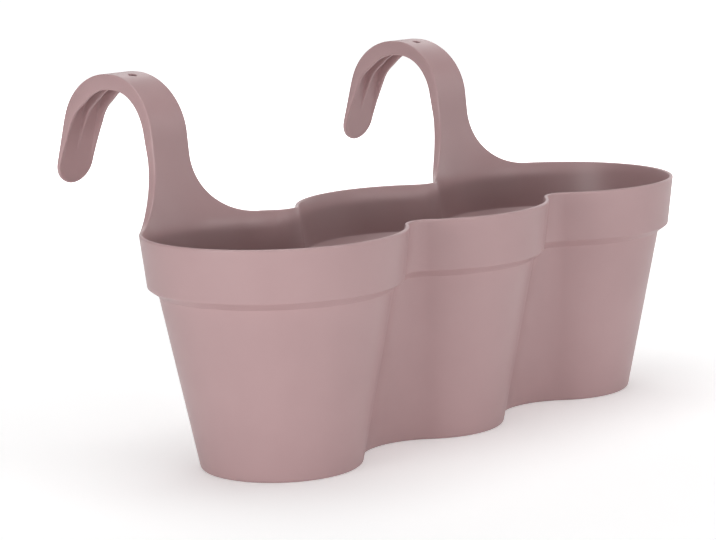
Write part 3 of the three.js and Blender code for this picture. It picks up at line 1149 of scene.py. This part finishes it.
    def cut_tie_hole(self, piece: bpy.types.Object, pot: int) -> None:
        """Cuts the round hole near a hook's crest, with a small round at its mouth.

        Args:
            piece: The moulding.
            pot: Number of the pot that carries the hook.
        """
        hook = self.hook
        arm, _, crest = self.arch()
        heading = math.radians(hook.tie_hole_heading)
        spot = self.arch_station(arm, crest, heading)
        radius, mouth = hook.tie_hole_radius, hook.tie_hole_radius + hook.edge_round
        depth, rise = 2 * hook.peak_flange_depth, self.cutter_rise
        skin = Skin()
        skin.turned_solid([
            (0.0, -depth),
            (radius, -depth),
            *quarter_round((radius, -hook.edge_round), (mouth, 0.0), self.edge_facets, False),
            (mouth + rise, rise),
            (0.0, rise),
        ], self.hole_sides)
        cutter = skin.build("tie_hole_cutter")
        centre = Vector((self.row.pot_x(pot), spot.y + self.row_y, spot.z)) * MM
        cutter.data.transform(Matrix.Translation(centre) @ Matrix.Rotation(QUARTER - heading, 4, "X"))
        cut = piece.modifiers.new("tie hole", "BOOLEAN")
        cut.operation = "DIFFERENCE"
        cut.solver = "EXACT"
        cut.object = cutter
        result = baked(piece)
        piece.modifiers.clear()
        piece.data = result
        bpy.data.objects.remove(cutter)


@dataclass(frozen=True)
class GridShape:
    """Sizes of a drainage grid, in millimetres."""

    clearance: float = 1.2
    slit: float = 1.0
    thickness: float = 2.4
    seat_gap: float = 0.3
    leg_height: float = 14.0
    leg_radius: float = 4.0
    leg_count: int = 4
    hole_radius: float = 2.7
    hole_pitch: float = 15.5
    ring_pitch: float = 21.0
    margin: float = 10.0
    edge_round: float = 0.5


@dataclass
class DrainageGrids(SubAssembly):
    """The three perforated grids that keep the soil above the water."""

    grid: GridShape = GridShape()
    outline_step: float = math.radians(4)
    hole_sides: int = 20
    leg_sides: int = 32
    edge_segments: int = 2
    edge_angle: float = math.radians(50)
    tree: bpy.types.NodeTree = field(init=False)

    def __post_init__(self) -> None:
        """Makes the material and the node tree that all grids share."""
        super().__post_init__()
        self.tree = self.make_tree()

    @property
    def level(self) -> float:
        """Height of a grid's underside."""
        return self.row.floor + self.grid.seat_gap + self.grid.leg_height

    @property
    def inset(self) -> float:
        """Distance from the rim's outline to the grid's edge."""
        return self.row.body_inset(self.level) + self.row.wall + self.grid.clearance

    def outline(self, pot: int) -> list[Point2]:
        """Outline of one pot's grid, cut across at the waists.

        Args:
            pot: Number of the pot.

        Returns:
            Its points, anticlockwise.
        """
        row = self.row
        lobe, hollow = row.rim_radius - self.inset, row.waist_radius + self.inset
        slit = math.asin(self.grid.slit / 2 / hollow)
        angle, half, waist_y = row.waist_angle, row.pitch / 2, row.waist_centre_y
        left = angle if pot > 0 else 0.0
        right = angle if pot < len(POTS) - 1 else 0.0
        arcs = [(0.0, 0.0, lobe, math.pi + left, FULL_TURN - right)]
        if right:
            arcs.append((half, -waist_y, hollow, math.pi - angle, QUARTER + slit))
            arcs.append((half, waist_y, hollow, -QUARTER - slit, angle - math.pi))
        arcs.append((0.0, 0.0, lobe, right, math.pi - left))
        if left:
            arcs.insert(0, (-half, -waist_y, hollow, QUARTER - slit, angle))
            arcs.append((-half, waist_y, hollow, -angle, slit - QUARTER))
        points = [point for bow in arcs for point in arc(*bow, self.outline_step)]
        following = [*points[1:], points[0]]
        return [p for p, after in zip(points, following) if math.dist(p, after) > MERGE_DISTANCE]

    def ring_radius(self, index: float) -> float:
        """Radius of a ring of holes."""
        return self.row.rim_radius - self.inset - self.grid.margin - index * self.grid.ring_pitch

    def sizes(self) -> dict[str, float | int]:
        """Inputs of the node tree, with lengths in metres.

        Returns:
            Name of each input to its value.
        """
        grid = self.grid
        outer, inner = self.ring_radius(0), self.ring_radius(1)
        return {
            "Thickness": grid.thickness * MM,
            "Hole radius": grid.hole_radius * MM,
            "Outer ring": outer * MM,
            "Inner ring": inner * MM,
            "Leg circle": self.ring_radius(0.5) * MM,
            "Leg radius": grid.leg_radius * MM,
            "Leg height": grid.leg_height * MM,
            "Outer count": round(FULL_TURN * outer / grid.hole_pitch),
            "Inner count": round(FULL_TURN * inner / grid.hole_pitch),
            "Leg count": grid.leg_count,
        }

    def make_tree(self) -> bpy.types.NodeTree:
        """Builds the node tree that turns an outline into a perforated plate on legs.

        Returns:
            The node tree, with a named input for each size.
        """
        tree = bpy.data.node_groups.new("perforated plate", "GeometryNodeTree")
        tree.interface.new_socket("Geometry", in_out="INPUT", socket_type="NodeSocketGeometry")
        for name, value in self.sizes().items():
            kind = "NodeSocketInt" if isinstance(value, int) else "NodeSocketFloat"
            tree.interface.new_socket(name, in_out="INPUT", socket_type=kind)
        tree.interface.new_socket("Geometry", in_out="OUTPUT", socket_type="NodeSocketGeometry")
        given = add_node(tree, "NodeGroupInput").outputs
        hole = add_node(tree, "GeometryNodeCurvePrimitiveCircle", {
            "Resolution": self.hole_sides, "Radius": given["Hole radius"],
        })
        spots = [add_node(tree, "GeometryNodePoints", {"Count": 1})]
        for ring in ("Outer", "Inner"):
            circle = add_node(tree, "GeometryNodeMeshCircle", {
                "Vertices": given[f"{ring} count"], "Radius": given[f"{ring} ring"],
            })
            spots.append(add_node(tree, "GeometryNodeMeshToPoints", {"Mesh": circle}))
        joined = add_node(tree, "GeometryNodeJoinGeometry", {"Geometry": spots})
        holes = add_node(tree, "GeometryNodeInstanceOnPoints", {"Points": joined, "Instance": hole})
        loose = add_node(tree, "GeometryNodeRealizeInstances", {"Geometry": holes})
        edge = add_node(tree, "GeometryNodeMeshToCurve", {"Mesh": given["Geometry"]})
        curves = add_node(tree, "GeometryNodeJoinGeometry", {"Geometry": [edge, loose]})
        sheet = add_node(tree, "GeometryNodeFillCurve", {"Curve": curves})
        lift = add_node(tree, "GeometryNodeExtrudeMesh", {
            "Mesh": sheet, "Offset Scale": given["Thickness"], "Individual": False,
        })
        under = add_node(tree, "GeometryNodeFlipFaces", {"Mesh": sheet})
        plate = add_node(tree, "GeometryNodeJoinGeometry", {"Geometry": [lift, under]})
        closed = add_node(tree, "GeometryNodeMergeByDistance", {
            "Geometry": plate, "Distance": MERGE_DISTANCE * MM,
        })
        leg = add_node(tree, "GeometryNodeMeshCylinder", {
            "Vertices": self.leg_sides, "Radius": given["Leg radius"], "Depth": given["Leg height"],
        })
        corners = add_node(tree, "GeometryNodeMeshCircle", {
            "Vertices": given["Leg count"], "Radius": given["Leg circle"],
        })
        half = add_node(tree, "ShaderNodeMath", {0: given["Leg height"], 1: -0.5}, operation="MULTIPLY")
        drop = add_node(tree, "ShaderNodeCombineXYZ", {"Z": half})
        turned = add_node(tree, "GeometryNodeTransform", {
            "Geometry": corners, "Translation": drop, "Rotation": (0.0, 0.0, math.pi / 4),
        })
        legs = add_node(tree, "GeometryNodeInstanceOnPoints", {"Points": turned, "Instance": leg})
        whole = add_node(tree, "GeometryNodeJoinGeometry", {"Geometry": [closed, legs]})
        real = add_node(tree, "GeometryNodeRealizeInstances", {"Geometry": whole})
        dressed = add_node(tree, "GeometryNodeSetMaterial", {"Geometry": real, "Material": self.material})
        add_node(tree, "NodeGroupOutput", {"Geometry": dressed})
        return tree

    def build(self, pot: int) -> bpy.types.Object:
        """Builds one pot's grid.

        Args:
            pot: Number of the pot.

        Returns:
            The finished object.
        """
        outline = bpy.data.meshes.new("outline")
        points = self.outline(pot)
        edges = [(i, (i + 1) % len(points)) for i in range(len(points))]
        outline.from_pydata([(x * MM, y * MM, 0.0) for x, y in points], edges, [])
        source = placed("grid_source", outline)
        modifier = source.modifiers.new("plate", "NODES")
        modifier.node_group = self.tree
        sizes = self.sizes()
        for socket in self.tree.interface.items_tree:
            if socket.in_out == "INPUT" and socket.name in sizes:
                modifier[socket.identifier] = sizes[socket.name]
        plain = baked(source)
        source.modifiers.remove(modifier)
        bpy.data.objects.remove(source)
        plain.transform(Matrix.Translation(Vector((self.row.pot_x(pot), self.row_y, self.level)) * MM))
        shell = bmesh.new()
        shell.from_mesh(plain)
        bmesh.ops.recalc_face_normals(shell, faces=shell.faces)
        piece = finished_object(f"drainage_plate_{POTS[pot]}", shell)
        soften = piece.modifiers.new("soft edges", "BEVEL")
        soften.width = self.grid.edge_round * MM
        soften.segments = self.edge_segments
        soften.limit_method = "ANGLE"
        soften.angle_limit = self.edge_angle
        return piece


@dataclass(frozen=True)
class PlugShape:
    """Sizes of a drain plug, in millimetres. The groove's share is of the distance between grooves."""

    fit: float = 0.25
    seat_gap: float = 0.3
    flange_overlap: float = 4.0
    flange_height: float = 1.6
    grip_radius: float = 3.0
    grip_height: float = 6.5
    lead_in: float = 0.6
    lead_in_round: float = 0.2
    edge_round: float = 0.4
    grip_grooves: int = 3
    groove_depth: float = 0.35
    groove_share: float = 0.2
    groove_mouth_round: float = 0.15
    groove_floor_round: float = 0.1


@dataclass
class DrainPlugs(SubAssembly):
    """The three rubber plugs in the floor."""

    plug: PlugShape = PlugShape()
    sides: int = 64
    corner_facets: int = 4
    longest: float = 3.0
    support: float = 0.15

    def profile(self) -> list[Point2]:
        """Outline of a plug, with grooves round its grip.

        Returns:
            Points as (radius, height), from the underside to the top of the grip.
        """
        plug, row = self.plug, self.row
        stem, flange = row.drain_hole_radius - plug.fit, row.drain_hole_radius + plug.flange_overlap
        seat = row.floor + plug.seat_gap
        shoulder = seat + plug.flange_height
        top = shoulder + plug.grip_height
        grip, groove = plug.grip_radius, plug.grip_radius - plug.groove_depth
        bow, mouth, bottom = plug.lead_in_round, plug.groove_mouth_round, plug.groove_floor_round
        corners = [
            (0.0, plug.seat_gap, 0.0),
            (stem - plug.lead_in, plug.seat_gap, bow),
            (stem, plug.seat_gap + plug.lead_in, bow),
            (stem, seat, bow),
            (flange, seat, plug.edge_round),
            (flange, shoulder, plug.edge_round),
            (grip, shoulder, plug.edge_round),
        ]
        pitch = (plug.grip_height - 2 * plug.lead_in) / (plug.grip_grooves + 1)
        half = pitch * plug.groove_share
        for i in range(plug.grip_grooves):
            z = shoulder + plug.lead_in + pitch * (i + 1)
            corners += [
                (grip, z - 2 * half, mouth),
                (groove, z - half, bottom),
                (groove, z + half, bottom),
                (grip, z + 2 * half, mouth),
            ]
        corners += [(grip, top - plug.lead_in, bow), (grip - plug.lead_in, top, bow), (0.0, top, 0.0)]
        return rounded_profile(corners, self.longest, self.corner_facets, self.support)

    def build(self, pot: int) -> bpy.types.Object:
        """Builds one pot's plug as a turned shape.

        Args:
            pot: Number of the pot.

        Returns:
            The finished object.
        """
        skin = Skin()
        skin.turned_solid(self.profile(), self.sides, self.row.pot_x(pot))
        return skin.build(f"drain_stopper_{POTS[pot]}", self.row_y)


@dataclass(frozen=True)
class SoftBox:
    """One soft light. Places and sizes are in metres, the power is in watts."""

    name: str
    place: Point3
    size: Point2
    power: float
    aim: Point3 = (0.0, 0.0, 0.1)

    def build(self) -> None:
        """Adds the light to the scene."""
        data = bpy.data.lights.new(self.name, "AREA")
        data.shape = "RECTANGLE"
        data.size, data.size_y = self.size
        data.energy = self.power
        lamp = placed(self.name, data)
        lamp.location = self.place
        lamp.rotation_euler = (Vector(self.aim) - Vector(self.place)).to_track_quat("-Z", "Y").to_euler()
        lamp.visible_camera = False


@dataclass
class Studio:
    """Floor, light and camera. The camera's place is in millimetres, the floor and lights in metres."""

    azimuth: float = -0.834
    elevation: float = 0.1669
    roll: float = -0.0282
    target: Point3 = (-39.88, 24.68, 110.5)
    distance: float = 1729.8
    focal_px: float = 2533.8
    frame_px: float = 716.0
    sensor: float = 36.0
    clip: Point2 = (0.05, 200.0)
    floor_half: float = 30.0
    floor_white: Point2 = (0.32, 1.0)
    bounce_white: Point2 = (0.09, 0.09)
    glow_reach: Point2 = (0.4, 1.6)
    paper: str = "f4f4f4"
    paper_roughness: float = 0.9
    paper_gloss: float = 0.1
    sky: float = 0.048
    lights: tuple[SoftBox, ...] = (
        SoftBox("left", (-2.0, 0.0, 0.25), (1.0, 0.5), 11.6),
        SoftBox("high left", (-2.0, 0.0, 0.85), (1.0, 0.6), 2.7),
        SoftBox("camera side", (-1.73, -1.0, 0.25), (1.0, 0.5), 2.6),
        SoftBox("front left strip", (-1.06, -1.7, 0.262), (0.6, 0.06), 3.8),
        SoftBox("front strip", (0.1, -2.0, 0.258), (1.5, 0.06), 4.0),
        SoftBox("low front", (0.1, -2.0, 0.25), (1.2, 0.5), 3.9),
        SoftBox("right front", (1.6, -1.4, 0.8), (1.2, 1.2), 5.7),
        SoftBox("right", (2.0, -0.2, 0.25), (1.2, 0.3), 2.3),
        SoftBox("back", (1.63, 1.47, 0.5), (3.6, 0.9), 7.5),
        SoftBox("high back", (1.63, 1.47, 1.4), (3.6, 0.9), 18.5),
        SoftBox("top", (0.0, 0.0, 2.2), (2.0, 2.0), 28.4),
    )

    def camera(self, row_y: float) -> None:
        """Places the camera at the photograph's viewing angle.

        Args:
            row_y: Place of the row along Y, in millimetres.
        """
        a, e = self.azimuth, self.elevation
        ahead = Vector((-math.sin(a) * math.cos(e), math.cos(a) * math.cos(e), -math.sin(e)))
        right = ahead.cross(Vector((0, 0, 1))).normalized()
        up = right.cross(ahead)
        c, s = math.cos(self.roll), math.sin(self.roll)
        right, up = right * c + up * s, up * c - right * s
        spot = Vector(self.target) + Vector((0, row_y, 0)) - ahead * self.distance
        data = bpy.data.cameras.new("camera")
        data.sensor_width = self.sensor
        data.sensor_fit = "HORIZONTAL"
        data.lens = self.focal_px / self.frame_px * self.sensor
        data.clip_start, data.clip_end = self.clip
        camera = placed("camera", data)
        turn = Matrix((right, up, -ahead)).transposed().to_4x4()
        camera.matrix_world = Matrix.Translation(spot * MM) @ turn
        bpy.context.scene.camera = camera

    def sheet(self, name: str, level: float, white: Point2) -> bpy.types.Object:
        """Lays one sheet of plain pale paper under the planter.

        Args:
            name: Name of the sheet.
            level: Its height.
            white: Brightness of its own near the planter and far from it.

        Returns:
            The sheet.
        """
        mesh = bpy.data.meshes.new(name)
        h = self.floor_half
        corners = [(x, y, level) for x, y in ((-h, -h), (h, -h), (h, h), (-h, h))]
        mesh.from_pydata(corners, [], [(0, 1, 2, 3)])
        finish = bpy.data.materials.new(name)
        finish.use_nodes = True
        tree = finish.node_tree
        tree.nodes.clear()
        place = add_node(tree, "ShaderNodeTexCoord").outputs["Object"]
        reach = add_node(tree, "ShaderNodeVectorMath", {0: place}, operation="LENGTH").outputs["Value"]
        near, far = self.glow_reach
        glow = add_node(
            tree, "ShaderNodeMapRange", {0: reach, 1: near, 2: far, 3: white[0], 4: white[1]},
            interpolation_type="SMOOTHSTEP",
        )
        shader = add_node(tree, "ShaderNodeBsdfPrincipled", {
            "Base Color": linear(self.paper),
            "Roughness": self.paper_roughness,
            "Specular IOR Level": self.paper_gloss,
            "Emission Color": linear(WHITE),
            "Emission Strength": glow,
        })
        add_node(tree, "ShaderNodeOutputMaterial", {"Surface": shader})
        mesh.materials.append(finish)
        paper = placed(name, mesh)
        return paper

    def floor(self) -> None:
        """Lays the white floor, and under it the sheet that throws light up on the planter."""
        floor = self.sheet("floor", 0.0, self.floor_white)
        floor.visible_diffuse = False
        floor.visible_glossy = False
        floor.visible_shadow = False
        bounce = self.sheet("bounce sheet", -MM, self.bounce_white)
        bounce.visible_camera = False

    def build(self, row_y: float) -> None:
        """Sets up the whole studio.

        Args:
            row_y: Place of the row along Y, in millimetres.
        """
        scene = bpy.context.scene
        scene.view_settings.view_transform = "Standard"
        world = bpy.data.worlds.new("studio")
        world.use_nodes = True
        sky = world.node_tree.nodes["Background"].inputs
        sky["Color"].default_value = linear(WHITE)
        sky["Strength"].default_value = self.sky
        scene.world = world
        self.floor()
        for box in self.lights:
            box.build()
        self.camera(row_y)


def main() -> None:
    """Builds the studio, the planter and its loose pieces."""
    logging.basicConfig(level=logging.INFO, format="%(name)s %(message)s")
    row = RowShape()
    low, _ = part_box("planter_body")
    row_y = low.y / MM + row.rim_radius
    Studio().build(row_y)
    body = PlanterBody(row, row_y, PINK)
    grids = DrainageGrids(row, row_y, GREY)
    plugs = DrainPlugs(row, row_y, RUBBER)
    body.dress(body.build(), "planter", "planter_body")
    for pot, name in enumerate(POTS):
        grids.dress(grids.build(pot), f"grid_{name}", f"drainage_grid_{name}")
        plugs.dress(plugs.build(pot), f"plug_{name}", f"drain_plug_{name}")


if __name__ == "__main__":
    main()
